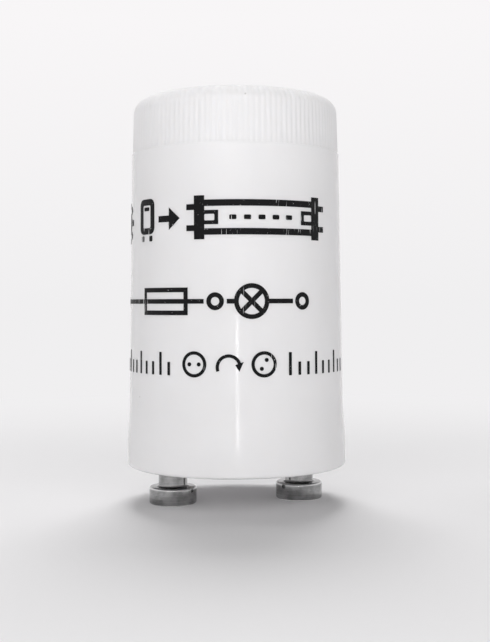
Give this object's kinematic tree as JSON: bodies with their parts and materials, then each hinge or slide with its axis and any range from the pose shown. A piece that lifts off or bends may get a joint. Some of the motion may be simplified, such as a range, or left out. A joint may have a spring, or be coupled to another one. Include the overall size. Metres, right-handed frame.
{
  "type": "fluorescent starter",
  "caption": "Plug-in starter for a tubular lamp: a white moulded canister with a fine-ribbed crown, closed by a base disc with turned contact pins and holding a glass fuse link.",
  "frame": {"origin": "centre of the base disc's outer face, between the two contact pins", "axes": "+Z along the canister's axis to its closed end, +X through the two pins, from left to right"},
  "size_m": [0.0214, 0.0214, 0.0391],
  "materials": {
    "white_plastic": "injection-moulded, glossy, slightly translucent white",
    "nickel": "turned brass with bright nickel plating",
    "glass": "clear drawn glass",
    "tinned_copper": "tinned copper wire",
    "solder": "soft solder, satin"
  },
  "bodies": {
    "root": {"canister": "white_plastic", "base_disc": "white_plastic", "contact_pin_left": "nickel", "contact_pin_right": "nickel", "fuse_tube": "glass", "fuse_cap_left": "nickel", "fuse_cap_right": "nickel", "fuse_element": "tinned_copper", "lead_wire_left": "tinned_copper", "lead_wire_right": "tinned_copper", "solder_joint_left": "solder", "solder_joint_right": "solder"}
  },
  "joints": []
}
